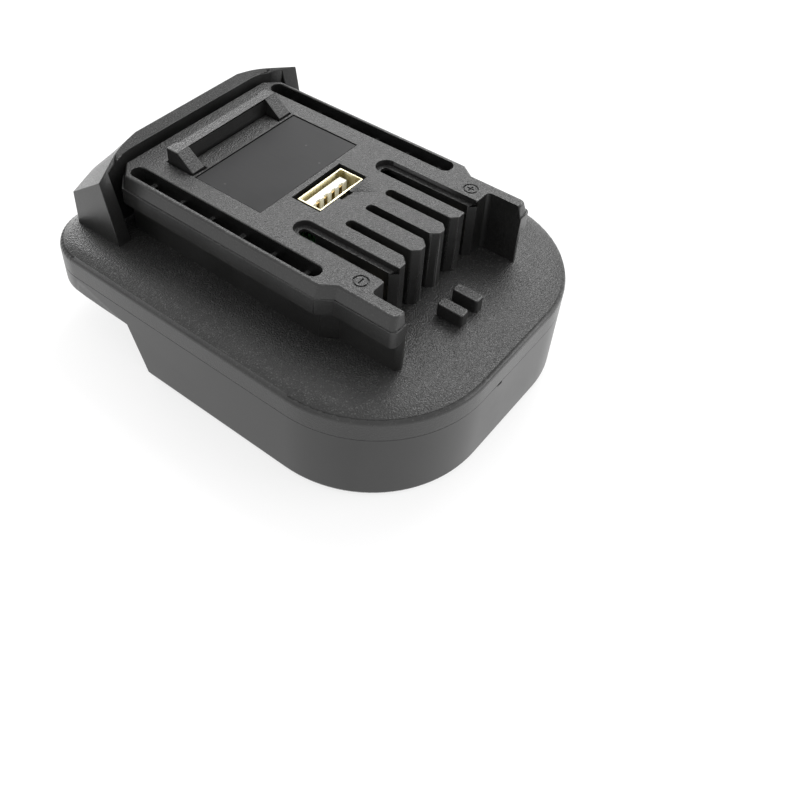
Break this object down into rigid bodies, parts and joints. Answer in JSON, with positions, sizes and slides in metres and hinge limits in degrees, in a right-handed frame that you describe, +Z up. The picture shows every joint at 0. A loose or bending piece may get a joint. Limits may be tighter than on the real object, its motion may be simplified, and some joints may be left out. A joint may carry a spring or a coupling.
{
  "type": "tool battery adapter",
  "caption": "Slide-on adapter that lets a donor battery pack power a tool: rail plate with spring contacts, charging port and sprung release latch.",
  "frame": {"origin": "bottom centre of the bounding box, on the flat underside of the lower shell", "axes": "+Z up from the underside to the rail plate, +Y towards the hood and release button, +X towards the plus contact"},
  "size_m": [0.073, 0.0924, 0.039],
  "materials": {
    "case_plastic": "fine spark-eroded grain",
    "shell_plastic": "smooth satin",
    "latch_plastic": "fine spark-eroded grain",
    "label_film": "smooth film",
    "port_steel": "nickel-plated",
    "port_white": "moulded",
    "contact_gold": "bright",
    "board_green": "solder mask",
    "ferrite": "sintered",
    "capacitor_can": "drawn",
    "chip_black": "moulded",
    "carrier_black": "moulded",
    "lead_black": "insulation",
    "lead_red": "insulation",
    "lead_yellow": "insulation",
    "screw_steel": "zinc-plated",
    "spring_steel": "drawn wire"
  },
  "bodies": {
    "case": {"top_cover": "case_plastic", "lower_shell": "shell_plastic", "latch_springs": "spring_steel", "label_plate": "label_film", "usb_shell": "port_steel", "usb_insulator": "port_white", "usb_contacts": "contact_gold", "circuit_board": "board_green", "power_inductor": "ferrite", "filter_capacitors": "capacitor_can", "converter_chip": "chip_black", "chip_resistors": "chip_black", "contact_carrier": "carrier_black", "negative_clip": "contact_gold", "positive_clip": "contact_gold", "left_signal_clip": "contact_gold", "right_signal_clip": "contact_gold", "blade_block": "carrier_black", "negative_blade": "contact_gold", "positive_blade": "contact_gold", "signal_blade": "contact_gold", "negative_lead": "lead_black", "positive_lead": "lead_red", "signal_lead": "lead_yellow", "board_screws": "screw_steel", "case_screws": "screw_steel"},
    "latch": {"release_latch": "latch_plastic"}
  },
  "joints": [
    {"name": "latch_press", "type": "slide", "parent": "case", "child": "latch", "axis": [0, 0, -1], "range_m": [0, 0.004], "stiffness_N_per_m": 800, "springref_m": -0.004, "deforming": ["latch_springs"]}
  ]
}
